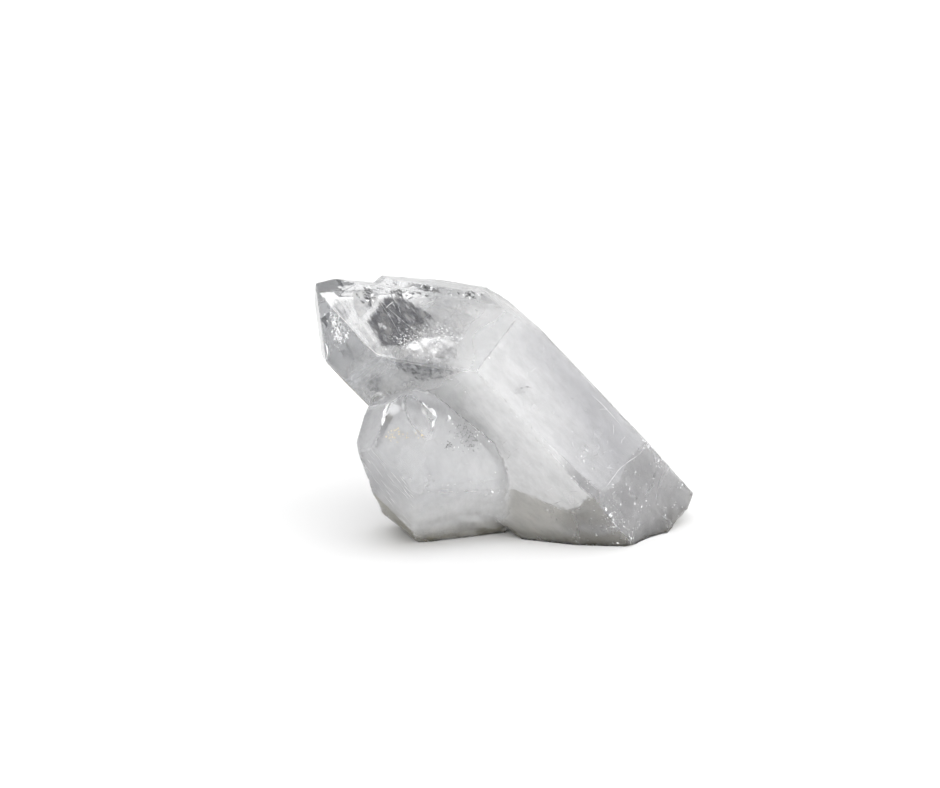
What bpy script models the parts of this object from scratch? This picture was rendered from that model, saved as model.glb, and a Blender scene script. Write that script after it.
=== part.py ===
"""A quartz crystal cluster: two crystals grown together, built as one solid.

The large crystal leans to the left and ends in six unequal sloping faces. A thin
second growth, parallel to it, makes the ledge along its top. A short stout crystal
grew into its lower front left side and points up and forwards. The right end is
broken off, and the underside is cut flat where the cluster came off its rock.

Quartz keeps its angles: the six prism faces stand 60 degrees apart around the
crystal's long axis, and the faces of the point slope at 51.8 degrees from that axis.
Only a face's distance from the crystal's centre differs from crystal to crystal, so
each crystal here is a turn, a centre and a list of face distances.

Frame: metres, +Z up, the origin under the middle of the cluster, on the surface it
rests on. +X runs along the cluster to its broken end, and -Y is the front.
"""

import math

import bmesh
import bpy
from mathutils import Euler, Matrix, Vector

MM = 0.001

# Angle between the long axis and the outward direction of a face of the point, degrees.
POINT_SLOPE = 51.8

# Half the height of the rough six-sided block that each crystal is cleaved from, mm.
BLOCK_REACH = 110.0

# The large crystal: its turn (XYZ angles, degrees) and its centre, mm.
LARGE_TURN = (36.6, -23.4, -55.5)
LARGE_CENTRE = (-5.3, 4.5, 39.7)

# Distance of each face from the centre, mm. The angle is taken around the long axis.
LARGE_PRISM = {0: 18.5, 60: 18.95, 120: 18.5, 180: 18.5, -120: 24.9, -60: 18.5}
LARGE_POINT = {0: 20.6, 60: 21.0, 120: 28.4, 180: 41.2, -120: 40.1, -60: 31.9}

# Faces that follow no crystal angle: (compass direction, rise) in degrees, distance in mm.
LARGE_CUTS = (
    ("bevel at the top right corner", 7.7, 59.5, 19.8),
    ("rounded edge down the front", -78.4, 3.1, 21.15),
    ("break, the main face", -42.2, 4.7, 31.45),
    ("break, lower front", -94.8, -28.5, 25.78),
    ("break, left of that", -108.5, -30.0, 21.57),
    ("break, right end", 1.4, -22.2, 62.8),
    ("break, lower right end", -2.4, -36.4, 63.1),
    ("break, under the right end", -7.0, -49.5, 60.2),
    ("break, foot of the front", -57.3, -65.5, 47.67),
    ("break, under the left side", -158.4, -47.4, 24.8),
)

# The second growth: the same turn and centre, its own distances.
LEDGE_PRISM = {0: 18.2, 60: 18.95, 120: 19.1}
LEDGE_POINT = {0: 19.4, 60: 22.95, 120: 29.2}
LEDGE_CUTS = (
    ("bevel shared with the large crystal", 7.7, 59.5, 19.8),
    ("step at the left end", -173.7, 47.4, 36.9),
    ("root inside the large crystal", -146.1, -79.8, -12.2),
)

# The small crystal.
SMALL_TURN = (27.1, 33.1, -48.7)
SMALL_CENTRE = (-17.0, -3.5, 22.0)
SMALL_POINT = {0: 16.3, 120: 18.3, 180: 22.1, 240: 27.8}
SMALL_PRISM = {60: 16.1, 300: 17.1}
SMALL_CUTS = (
    ("upper right side", 62.2, 41.4, 2.55),
    ("right shoulder", 27.7, 24.2, 9.5),
    ("upper left side", 165.6, 11.2, 16.6),
    ("lower left side", -178.1, -13.5, 17.8),
    ("front, below the big face", -69.3, -43.5, 13.8),
    ("dulled edge over the front", -66.8, -20.8, 15.7),
    ("underside, left", -144.7, -41.4, 18.0),
    ("underside, far left", -162.6, -48.2, 19.9),
    ("underside, front", -84.1, -54.2, 17.1),
    ("break at the back of the root", 97.0, -22.0, 22.5),
    ("underside, back left", 140.0, -50.0, 27.0),
)

# Shell-shaped hollows: a point on the surface (mm), the surface's (compass, rise) there
# in degrees, the radius of the shell and the depth of the hollow, mm.
HOLLOWS = (
    ("break, upper", (33.0, -2.8, 18.0), (-42, 7), 26.0, 1.0),
    ("break, right", (42.5, 6.8, 10.5), (-40, 2), 24.0, 1.1),
    ("break, left", (28.2, -8.2, 11.9), (-46, 0), 22.0, 0.9),
    ("break, corner", (37.0, -0.4, 5.1), (-44, -9), 26.0, 1.0),
    ("foot, middle", (22.0, -10.2, 7.9), (-94, -27), 34.0, 0.9),
    ("foot, left", (13.0, -8.0, 6.4), (-103, -29), 34.0, 0.7),
    ("right end", (47.4, 17.4, 5.5), (4, -30), 18.0, 0.9),
    ("right end, back", (49.0, 25.4, 6.5), (12, -26), 16.0, 0.8),
    ("back foot", (32.0, 26.4, 6.0), (82, -12), 34.0, 1.4),
    ("back, left of the foot", (12.0, 17.4, 4.0), (118, -35), 26.0, 1.3),
    ("back of the small root", (-16.0, 19.4, 6.5), (97, -20), 26.0, 1.3),
)

# The chip in the big face of the small crystal: middle, long direction, half sizes, mm.
CHIP_MIDDLE = (-21.8, -23.2, 38.8)
CHIP_ALONG = (5.8, 2.3, -11.7)
CHIP_FACING = (-65.1, 1.8)
CHIP_HALF = (6.6, 2.3, 1.0)

# The rock that the cluster was cut from, as a block under the cut, mm.
ROCK_SIDE = 300.0


def compass(azimuth, rise):
    """Unit direction at this azimuth from +X, raised by this angle, in degrees."""
    around = math.radians(azimuth)
    up = math.radians(rise)
    flat = math.cos(up)
    return Vector((flat * math.cos(around), flat * math.sin(around), math.sin(up)))


def turn_of(angles):
    """3x3 rotation from three angles in degrees."""
    return Euler([math.radians(angle) for angle in angles], "XYZ").to_matrix()


def prism_face(azimuth):
    """Outward direction of a prism face, in the crystal's own axes."""
    around = math.radians(azimuth)
    return Vector((math.cos(around), math.sin(around), 0.0))


def point_face(azimuth):
    """Outward direction of a face of the point, in the crystal's own axes."""
    slope = math.radians(POINT_SLOPE)
    return prism_face(azimuth) * math.sin(slope) + Vector((0.0, 0.0, math.cos(slope)))


def cleave(bm, middle, facing, distance):
    """Cut everything away beyond a flat face this far (mm) from the middle, and cap it."""
    facing = facing.normalized()
    cut = bmesh.ops.bisect_plane(
        bm,
        geom=bm.verts[:] + bm.edges[:] + bm.faces[:],
        dist=1e-7,
        plane_co=middle + facing * distance * MM,
        plane_no=facing,
        clear_outer=True,
    )
    rim = [item for item in cut["geom_cut"] if isinstance(item, bmesh.types.BMEdge)]
    bmesh.ops.holes_fill(bm, edges=rim, sides=0)


def grow(name, turn, centre, prism, point, cuts):
    """A crystal: a six-sided block, cleaved at each of its faces and then at its cuts."""
    turned = turn_of(turn)
    middle = Vector(centre) * MM
    reach = BLOCK_REACH * MM
    sixth = Matrix.Rotation(math.radians(30), 4, "Z")
    bm = bmesh.new()
    bmesh.ops.create_cone(
        bm,
        cap_ends=True,
        segments=6,
        radius1=reach,
        radius2=reach,
        depth=2 * reach,
        matrix=Matrix.Translation(middle) @ turned.to_4x4() @ sixth,
    )
    for azimuth, distance in prism.items():
        cleave(bm, middle, turned @ prism_face(azimuth), distance)
    for azimuth, distance in point.items():
        cleave(bm, middle, turned @ point_face(azimuth), distance)
    for _, azimuth, rise, distance in cuts:
        cleave(bm, middle, compass(azimuth, rise), distance)
    bmesh.ops.recalc_face_normals(bm, faces=bm.faces[:])
    return as_object(name, bm)


def as_object(name, bm):
    mesh = bpy.data.meshes.new(name)
    bm.to_mesh(mesh)
    bm.free()
    return bpy.data.objects.new(name, mesh)


def shell(name, spot, facing, radius, depth):
    """A ball that bites a round hollow of this depth (mm) into the surface at the spot."""
    outwards = compass(*facing)
    middle = (Vector(spot) + outwards * (radius - depth)) * MM
    bm = bmesh.new()
    bmesh.ops.create_icosphere(
        bm, subdivisions=4, radius=radius * MM, matrix=Matrix.Translation(middle)
    )
    return as_object(name, bm)


def chip():
    """A long flat ball laid in the big face of the small crystal."""
    outwards = compass(*CHIP_FACING)
    along = Vector(CHIP_ALONG)
    along = (along - outwards * along.dot(outwards)).normalized()
    across = outwards.cross(along)
    axes = Matrix((along, across, outwards)).transposed().to_4x4()
    sizes = Matrix.Diagonal([half * MM for half in CHIP_HALF]).to_4x4()
    middle = Matrix.Translation(Vector(CHIP_MIDDLE) * MM)
    bm = bmesh.new()
    bmesh.ops.create_icosphere(
        bm, subdivisions=3, radius=1.0, matrix=middle @ axes @ sizes
    )
    return as_object("chip", bm)


def rock():
    """The block that the flat underside was cut along."""
    side = ROCK_SIDE * MM
    bm = bmesh.new()
    bmesh.ops.create_cube(
        bm, size=side, matrix=Matrix.Translation((0.0, 0.0, -side / 2))
    )
    return as_object("rock", bm)


def quartz():
    """Milky quartz: near white, clear towards the points, glossy."""
    material = bpy.data.materials.new("quartz")
    material.use_nodes = True
    shader = material.node_tree.nodes["Principled BSDF"]
    shader.inputs["Base Color"].default_value = (0.78, 0.79, 0.80, 1.0)
    shader.inputs["Roughness"].default_value = 0.12
    shader.inputs["Metallic"].default_value = 0.0
    shader.inputs["IOR"].default_value = 1.544
    return material


def join_or_cut(body, other, operation, helpers):
    """Add a Boolean with another solid, which is kept out of the render."""
    helpers.objects.link(other)
    other.hide_render = True
    other.display_type = "WIRE"
    boolean = body.modifiers.new(other.name, "BOOLEAN")
    boolean.operation = operation
    boolean.solver = "EXACT"
    boolean.object = other


def build():
    for leftover in list(bpy.data.objects):
        bpy.data.objects.remove(leftover, do_unlink=True)
    cluster = bpy.data.collections.new("quartz crystal cluster")
    helpers = bpy.data.collections.new("growths and cutters")
    bpy.context.scene.collection.children.link(cluster)
    bpy.context.scene.collection.children.link(helpers)

    body = grow(
        "quartz_cluster", LARGE_TURN, LARGE_CENTRE, LARGE_PRISM, LARGE_POINT, LARGE_CUTS
    )
    body.data.materials.append(quartz())
    cluster.objects.link(body)

    ledge = grow(
        "ledge", LARGE_TURN, LARGE_CENTRE, LEDGE_PRISM, LEDGE_POINT, LEDGE_CUTS
    )
    small = grow(
        "small crystal", SMALL_TURN, SMALL_CENTRE, SMALL_PRISM, SMALL_POINT, SMALL_CUTS
    )
    join_or_cut(body, ledge, "UNION", helpers)
    join_or_cut(body, small, "UNION", helpers)
    join_or_cut(body, chip(), "DIFFERENCE", helpers)
    for name, spot, facing, radius, depth in HOLLOWS:
        hollow = shell(name, spot, facing, radius, depth)
        join_or_cut(body, hollow, "DIFFERENCE", helpers)
    join_or_cut(body, rock(), "DIFFERENCE", helpers)


build()
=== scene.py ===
# %% [markdown]
# # A quartz crystal cluster
# Two crystals of rock crystal grew into each other. The large one leans to the left:
# its point is clear as glass, its body is milky, and its right end is broken off. The
# short one points forwards and up. This lesson dresses the plain solid in clear quartz,
# puts the milk and the flaws inside it, and lights it softly on a pale floor.

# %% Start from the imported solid
import math

import bmesh
import bpy
import numpy as np
from mathutils import Euler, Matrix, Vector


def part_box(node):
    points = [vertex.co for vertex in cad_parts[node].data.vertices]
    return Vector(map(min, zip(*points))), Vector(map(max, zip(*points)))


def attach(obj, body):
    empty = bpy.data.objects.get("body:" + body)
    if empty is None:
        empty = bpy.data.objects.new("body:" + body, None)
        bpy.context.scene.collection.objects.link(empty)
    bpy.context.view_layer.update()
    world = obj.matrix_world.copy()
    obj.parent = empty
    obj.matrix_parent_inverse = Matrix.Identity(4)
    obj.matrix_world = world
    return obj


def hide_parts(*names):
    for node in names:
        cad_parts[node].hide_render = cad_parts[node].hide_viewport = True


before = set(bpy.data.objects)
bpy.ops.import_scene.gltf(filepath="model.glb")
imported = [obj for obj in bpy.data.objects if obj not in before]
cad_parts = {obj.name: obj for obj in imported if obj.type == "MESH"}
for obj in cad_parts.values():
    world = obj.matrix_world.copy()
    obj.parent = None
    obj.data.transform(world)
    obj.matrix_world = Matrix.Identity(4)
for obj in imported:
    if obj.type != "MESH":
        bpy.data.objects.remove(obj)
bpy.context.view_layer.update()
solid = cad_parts["quartz_cluster"]
scene = bpy.context.scene
MM = 0.001

# %% [markdown]
# ## The camera
# A long lens from a little above the table suits a crystal, because it keeps the long
# edges nearly parallel. The camera stands 555 mm from the cluster and looks 15 degrees
# down.

# %% The camera
LENS, SENSOR = 85.0, 36.0
CAMERA_DISTANCE = 0.555
CAMERA_RISE = math.radians(15.0)
LOOK_AT = np.array([-0.00946, -0.00118, 0.0385])

back = np.array([0, -math.cos(CAMERA_RISE), math.sin(CAMERA_RISE)])
camera = bpy.data.objects.new("camera", bpy.data.cameras.new("camera"))
camera.data.lens = LENS
camera.data.sensor_width = SENSOR
camera.location = LOOK_AT + CAMERA_DISTANCE * back
camera.rotation_euler = (math.pi / 2 - CAMERA_RISE, 0, 0)
scene.collection.objects.link(camera)
scene.camera = camera
print("camera at", tuple(round(c, 3) for c in camera.location))

# %% [markdown]
# ## Each crystal's own directions
# Quartz keeps its angles, so a crystal is known by its turn, its centre and how far each
# face lies from that centre. The last row of a turn is the long axis, called c. Patterns
# on quartz follow that axis, so every piece below is worked out in the crystal's frame.

# %% The two crystals
POINT_SLOPE = math.radians(51.8)


def compass(azimuth, rise):
    """The direction with this azimuth from +X and this rise above level, in degrees."""
    a, r = math.radians(azimuth), math.radians(rise)
    return np.array([math.cos(a) * math.cos(r), math.sin(a) * math.cos(r), math.sin(r)])


class Crystal:
    """One crystal: its axes as rows (the long axis last), centre in metres, and faces.
    Cuts are faces that follow no crystal angle: compass direction, rise, distance."""

    def __init__(self, turn, centre, prism, point, cuts=()):
        self.axes = np.array(Euler([math.radians(a) for a in turn]).to_matrix()).T
        self.centre = np.array(centre) * MM
        self.prism = {math.radians(a): d * MM for a, d in prism.items()}
        self.point = {math.radians(a): d * MM for a, d in point.items()}
        self.cuts = cuts

    def faces(self):
        """Outward directions and distances of the faces: (cos a, sin a, 0) for the prism,
        and for the point the same leaned towards the long axis."""
        flat = [(math.cos(a), math.sin(a), 0.0) for a in self.prism]
        lean = math.sin(POINT_SLOPE)
        rise = math.cos(POINT_SLOPE)
        steep = [(lean * math.cos(a), lean * math.sin(a), rise) for a in self.point]
        distances = [*self.prism.values(), *self.point.values()]
        return np.array(flat + steep) @ self.axes, np.array(distances)

    def walls(self):
        """The faces and the cuts together."""
        directions, distances = self.faces()
        if not self.cuts:
            return directions, distances
        looks = [compass(azimuth, rise) for azimuth, rise, _ in self.cuts]
        reach = [distance * MM for _, _, distance in self.cuts]
        return np.concatenate([directions, looks]), np.concatenate([distances, reach])

    def local(self, points):
        """World points in the crystal's frame."""
        return (points - self.centre) @ self.axes.T

    def world(self, local):
        """Points of the crystal's frame in the world."""
        return local @ self.axes + self.centre


large = Crystal(
    (36.6, -23.4, -55.5), (-5.3, 4.5, 39.7),
    {0: 18.5, 60: 18.95, 120: 18.5, 180: 18.5, -120: 24.9, -60: 18.5},
    {0: 20.6, 60: 21.0, 120: 28.4, 180: 41.2, -120: 40.1, -60: 31.9},
)
small = Crystal(
    (27.1, 33.1, -48.7), (-17.0, -3.5, 22.0),
    {60: 16.1, 300: 17.1, 0: 22.0, 120: 24.0, 180: 22.0, 240: 22.0},
    {0: 16.3, 120: 18.3, 180: 22.1, 240: 27.8},
    [(62.2, 41.4, 2.55), (27.7, 24.2, 9.5), (165.6, 11.2, 16.6), (-178.1, -13.5, 17.8),
     (-69.3, -43.5, 13.8), (-66.8, -20.8, 15.7), (-144.7, -41.4, 18.0), (-162.6, -48.2, 19.9)],
)
print("long axes:", large.axes[2].round(3), small.axes[2].round(3))

# %% [markdown]
# ## Random numbers that run smoothly
# Nothing on a mineral repeats. A value noise gives each point of space a number between
# -1 and 1 that changes smoothly, the same on every run.

# %% Value noise
def value_noise(points, size, seed):
    """Random values on a cubic lattice with cells `size` wide, blended between the eight
    corners of a cell with the S-curve 3t^2 - 2t^3 along each axis. From -1 to 1."""
    grid = np.asarray(points, float) / size
    cell = np.floor(grid).astype(np.int64)
    part = grid - cell
    part = part * part * (3 - 2 * part)
    total = np.zeros(len(grid))
    for corner in np.ndindex(2, 2, 2):
        node = cell + corner
        mixed = (node @ np.array([73856093, 19349663, 83492791]) + seed * 2654435761) & 0xFFFFFFFF
        mixed = ((mixed ^ (mixed >> 15)) * 2246822519) & 0xFFFFFFFF
        mixed = ((mixed ^ (mixed >> 13)) * 3266489917) & 0xFFFFFFFF
        value = (mixed ^ (mixed >> 16)) / 0x7FFFFFFF - 1
        total += value * np.where(corner, part, 1 - part).prod(axis=1)
    return total


def step_up(low, high, value):
    """0 below low, 1 above high, and the S-curve 3t^2 - 2t^3 between."""
    t = np.clip((value - low) / (high - low), 0, 1)
    return t * t * (3 - 2 * t)


print("noise at three points:", value_noise(np.eye(3) * 0.37, 0.1, 1).round(3))

# %% [markdown]
# ## The skin: the crystal's outside at full detail
# The skin is the solid itself, cut into small triangles, so that it can carry growth
# lines, low hills, worn edges and the shell-shaped ripples of the break. It replaces the
# solid.

# %% A fine copy of the solid
SKIN_EDGE = 1.0 * MM
WELD, SLIVER = 2e-5, 1e-5
SAME_PLANE = math.radians(0.4)
FLAT = math.radians(0.3)
HALVINGS = 9


def fine_copy(source, name, longest):
    """A mesh of the source with every edge halved until none is over `longest`."""
    bm = bmesh.new()
    bm.from_mesh(source.data)
    bmesh.ops.remove_doubles(bm, verts=bm.verts[:], dist=WELD)
    bmesh.ops.dissolve_limit(bm, angle_limit=SAME_PLANE, verts=bm.verts[:], edges=bm.edges[:])
    bmesh.ops.triangulate(bm, faces=bm.faces[:])
    for _ in range(HALVINGS):
        long_edges = [edge for edge in bm.edges if edge.calc_length() > longest]
        if not long_edges:
            break
        bmesh.ops.subdivide_edges(bm, edges=long_edges, cuts=1)
        bmesh.ops.triangulate(bm, faces=[face for face in bm.faces if len(face.verts) > 3])
        inner = [e for e in bm.edges if len(e.link_faces) == 2 and e.calc_face_angle() < FLAT]
        bmesh.ops.beautify_fill(bm, faces=bm.faces[:], edges=inner, method="ANGLE")
    bmesh.ops.dissolve_degenerate(bm, dist=SLIVER, edges=bm.edges[:])
    bmesh.ops.triangulate(bm, faces=bm.faces[:])
    mesh = bpy.data.meshes.new(name)
    bm.to_mesh(mesh)
    bm.free()
    return mesh


def read(mesh):
    """Points, triangle corners, triangle directions and areas, as whole arrays."""
    mesh.calc_loop_triangles()
    points = np.empty(len(mesh.vertices) * 3)
    mesh.vertices.foreach_get("co", points)
    points = points.reshape(-1, 3)
    corners = np.empty(len(mesh.loop_triangles) * 3, np.int32)
    mesh.loop_triangles.foreach_get("vertices", corners)
    corners = corners.reshape(-1, 3)
    first, second, third = (points[corners[:, k]] for k in range(3))
    across = np.cross(second - first, third - first)
    double = np.linalg.norm(across, axis=1)
    return points, corners, across / np.maximum(double, 1e-30)[:, None], double / 2


skin_mesh = fine_copy(solid, "quartz_skin", SKIN_EDGE)
points, corners, facing, area = read(skin_mesh)
print("skin:", len(corners), "triangles")

# %% [markdown]
# Which crystal a point belongs to, and whether its face grew or broke, decides what it
# carries. A grown face looks along one of the crystal's own directions; every other face
# is a break.

# %% Own crystal, growth and break
OWN_SLACK = 0.4 * MM
BREAK_ANGLE = math.cos(math.radians(3.0))


def inside_all(crystal, where, slack):
    """Whether each point is inside every face and cut of a crystal, give or take."""
    directions, distances = crystal.walls()
    return ((where - crystal.centre) @ directions.T - distances).max(axis=1) < slack


def spread(values, corners, count, weights):
    """Mean of the triangles' values around each point, weighted by area."""
    total = np.zeros((count,) + values.shape[1:])
    weight = np.zeros(count)
    for k in range(3):
        np.add.at(total, corners[:, k], (values.T * weights).T)
        np.add.at(weight, corners[:, k], weights)
    return (total.T / np.maximum(weight, 1e-30)).T


def grown_along(looks, in_small):
    """Cosine of the angle from each look to the nearest face direction of its crystal."""
    on_large, on_small = ((looks @ crystal.faces()[0].T).max(axis=1) for crystal in (large, small))
    return np.where(in_small, on_small, on_large)


middles = points[corners].mean(axis=1)
tri_small = inside_all(small, middles, OWN_SLACK) & (middles[:, 1] < 0.004)
tri_break = grown_along(facing, tri_small) < BREAK_ANGLE
bottom = points[:, 2] < 0.05 * MM

count = len(points)
own_small = spread(tri_small.astype(float), corners, count, area)
broken = spread(tri_break.astype(float), corners, count, area)
normal = spread(facing, corners, count, area)
normal /= np.maximum(np.linalg.norm(normal, axis=1), 1e-9)[:, None]
print("share of points: small crystal", round(own_small.mean(), 2), "broken", round(broken.mean(), 2))

# %% Distance to the nearest edge of the crystal
CREASE = math.cos(math.radians(14.0))
FAR_FROM_EDGE = 0.02
EDGE_STEPS = 12


def sides_of(corners):
    """The two points of each side of each triangle, the lower number first."""
    return np.sort(np.concatenate([corners[:, [0, 1]], corners[:, [1, 2]], corners[:, [2, 0]]]), axis=1)


ends = sides_of(corners)
sides = np.tile(np.arange(len(corners)), 3)
order = np.lexsort((ends[:, 1], ends[:, 0]))
ends, sides = ends[order], sides[order]
pairs = np.flatnonzero((ends[1:] == ends[:-1]).all(axis=1))
edges = ends[pairs]
bend = (facing[sides[pairs]] * facing[sides[pairs + 1]]).sum(axis=1)
whole = (area[sides[pairs]] > 1e-9) & (area[sides[pairs + 1]] > 1e-9)
sharp = edges[(bend < CREASE) & whole]
length = np.linalg.norm(points[edges[:, 0]] - points[edges[:, 1]], axis=1)
to_edge = np.full(count, FAR_FROM_EDGE)
to_edge[sharp.ravel()] = 0
for _ in range(EDGE_STEPS):
    near = to_edge.copy()
    np.minimum.at(to_edge, edges[:, 0], near[edges[:, 1]] + length)
    np.minimum.at(to_edge, edges[:, 1], near[edges[:, 0]] + length)
print("points on a crystal edge:", int((to_edge == 0).sum()))

# %% [markdown]
# The faces of a prism carry fine growth lines square to the long axis, because thin
# layers stopped one after another as the crystal grew. The point's faces have low hills.
# The break ripples like broken bottle glass, and every edge is a little worn.

# %% Relief in the mesh
LINE_HEIGHT = 0.012 * MM
HILL_HEIGHT = 0.022 * MM
BREAK_HEIGHT = 0.16 * MM
CHIP_DEPTH = 0.22 * MM

own = own_small[:, None]
local = np.where(own > 0.5, small.local(points), large.local(points))
axis = np.where(own > 0.5, small.axes[2], large.axes[2])
on_prism = 1 - step_up(0.1, 0.3, np.abs((normal * axis).sum(axis=1)))
lines_at = np.stack([local[:, 2], local[:, 0] * 0.05, local[:, 1] * 0.05], axis=1)
lines = value_noise(lines_at, 1.9 * MM, 11) + 0.7 * value_noise(lines_at, 3.7 * MM, 12)
hills = value_noise(points, 7.0 * MM, 21) + 0.5 * value_noise(points, 3.1 * MM, 22)
ripples = value_noise(points, 2.6 * MM, 31) + 0.5 * np.abs(value_noise(points, 1.3 * MM, 32))
chips = step_up(0.15, 0.75, value_noise(points, 2.3 * MM, 41)) * (1 - step_up(0, 1.1 * MM, to_edge))

calm = step_up(0.2 * MM, 1.4 * MM, to_edge)
grown = (1 - broken) * calm
height = grown * on_prism * LINE_HEIGHT * lines + grown * HILL_HEIGHT * hills
height += broken * BREAK_HEIGHT * (ripples - 0.6)
height -= chips * CHIP_DEPTH
height[bottom] = 0
points = points + normal * height[:, None]


def eased(points, edges, strength, rounds):
    """Each point moves towards the mean of its neighbours by its own strength."""
    for _ in range(rounds):
        total = np.zeros_like(points)
        number = np.zeros(len(points))
        for a, b in ((0, 1), (1, 0)):
            np.add.at(total, edges[:, a], points[edges[:, b]])
            np.add.at(number, edges[:, a], 1)
        mean = total / np.maximum(number, 1)[:, None]
        points = points + (mean - points) * strength[:, None]
    return points


def near_both(where, crystal, *faces):
    """1 where two faces meet, 0 from 4.5 mm off; each face is (azimuth, rise, distance)."""
    spots = where - crystal.centre
    gaps = [np.abs(spots @ compass(azimuth, rise) - far * MM) for azimuth, rise, far in faces]
    return 1 - step_up(2.0 * MM, 4.5 * MM, np.maximum(*gaps))


def ridge_mask(where):
    """1 on the edges that the milk has rounded away: between the two front prism faces of
    the body, but not towards the point, and low on the small crystal's front."""
    body_ridge = near_both(where, large, (-55.5, 23.4, 18.5), (-101.8, -16.0, 18.5))
    body_ridge *= 1 - step_up(2, 9, large.local(where)[:, 2] / MM)
    front_ridge = near_both(where, small, (-65.1, 1.8, 16.3), (-66.8, -20.8, 15.7))
    front_ridge *= 1 - step_up(-0.013, -0.009, where[:, 0])
    return np.maximum(body_ridge, front_ridge) * step_up(0.004, 0.009, where[:, 2])


def contact_mask(where):
    """1 in the groove where the two crystals meet, which is where a point lies close to
    the faces of both, and 0 from 1.8 mm off."""
    gaps = []
    for crystal in (large, small):
        directions, distances = crystal.walls()
        gaps.append(np.abs(((where - crystal.centre) @ directions.T - distances).max(axis=1)))
    return (1 - step_up(0.5 * MM, 1.8 * MM, np.maximum(*gaps))) * step_up(0.002, 0.005, where[:, 2])


RIDGE_EASE, CONTACT_EASE, WEAR = 0.6, 0.5, 0.45

points = eased(points, edges, RIDGE_EASE * ridge_mask(points), 60)
points = eased(points, edges, CONTACT_EASE * contact_mask(points), 26)
worn = 0.5 + 0.5 * step_up(-0.4, 0.6, value_noise(points, 4 * MM, 51))
wear = WEAR * (to_edge < 0.25 * MM) * worn
wear[bottom] = 0
points = eased(points, edges, wear, 2)
points[:, 2] = np.maximum(points[:, 2], 0)
skin_mesh.vertices.foreach_set("co", points.ravel())
print("relief from", (height.min() / MM).round(3), "to", (height.max() / MM).round(3), "mm")

# %% Attributes that the materials read
def give(mesh, name, values):
    """A value at each point, or with three columns a vector, under a name."""
    kind, field = ("FLOAT_VECTOR", "vector") if values.ndim == 2 else ("FLOAT", "value")
    attribute = mesh.attributes.new(name, kind, "POINT")
    attribute.data.foreach_set(field, values.astype(np.float32).ravel())


def make_smooth(mesh):
    mesh.polygons.foreach_set("use_smooth", np.ones(len(mesh.polygons), bool))
    mesh.update()


give(skin_mesh, "grain", local)
give(skin_mesh, "break", broken)
give(skin_mesh, "prism", on_prism * (1 - broken))
give(skin_mesh, "edge", 1 - step_up(0, 0.9 * MM, to_edge))
make_smooth(skin_mesh)

skin = bpy.data.objects.new("quartz_skin", skin_mesh)
scene.collection.objects.link(skin)
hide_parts("quartz_cluster")
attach(skin, "root")
print("skin piece:", skin.name)

# %% [markdown]
# ## Help with materials
# A small helper keeps the node trees short: each call makes one node, sets its values and
# joins its inputs.

# %% Node helper
def node(tree, kind, links=None, **settings):
    """One node. Settings go to its properties or, by name or number, to its sockets."""
    made = tree.nodes.new(kind)
    for name, value in settings.items():
        if hasattr(made, name):
            setattr(made, name, value)
        else:
            made.inputs[name.replace("_", " ")].default_value = value
    for socket, source in (links or {}).items():
        tree.links.new(source, made.inputs[socket])
    return made


def ramp(tree, source, *stops):
    """A colour ramp; each stop is (place, grey) or (place, (r, g, b))."""
    made = node(tree, "ShaderNodeValToRGB", {0: source})
    band = made.color_ramp
    while len(band.elements) < len(stops):
        band.elements.new(0.5)
    for element, (place, shade) in zip(band.elements, stops):
        element.position = place
        rgb = shade if isinstance(shade, tuple) else (shade,) * 3
        element.color = (*rgb, 1)
    return made.outputs["Color"]


def math_node(tree, operation, first, second, clamp=False):
    """Arithmetic on two sockets, or on a socket and a number."""
    made = tree.nodes.new("ShaderNodeMath")
    made.operation = operation
    made.use_clamp = clamp
    for socket, value in ((0, first), (1, second)):
        if isinstance(value, (int, float)):
            made.inputs[socket].default_value = value
        else:
            tree.links.new(value, made.inputs[socket])
    return made.outputs[0]


def attribute(tree, name, output="Fac"):
    """What `give` stored under a name."""
    return node(tree, "ShaderNodeAttribute", attribute_name=name).outputs[output]


def new_material(name):
    """A material, its node tree and its Principled shader."""
    material = bpy.data.materials.new(name)
    material.use_nodes = True
    tree = material.node_tree
    return material, tree, tree.nodes["Principled BSDF"]


# %% [markdown]
# Two effects return in many of the finishes below, so each is a node group, built once.
# "Broken cover" turns a noise into the patchy way in which milk, dust and stains cover
# the quartz. "Cloudy tone" drifts between two colours.

# %% Node groups
def new_group(name, inputs, outputs):
    """A shader group with named sockets; inputs are (name, kind, value)."""
    group = bpy.data.node_groups.new(name, "ShaderNodeTree")
    for title, kind, value in inputs:
        socket = group.interface.new_socket(title, in_out="INPUT", socket_type=kind)
        if value is not None:
            socket.default_value = value
    for title, kind in outputs:
        group.interface.new_socket(title, in_out="OUTPUT", socket_type=kind)
    given = group.nodes.new("NodeGroupInput").outputs
    made = group.nodes.new("NodeGroupOutput").inputs
    return group, given, made


FLOAT, COLOR = "NodeSocketFloat", "NodeSocketColor"

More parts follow.
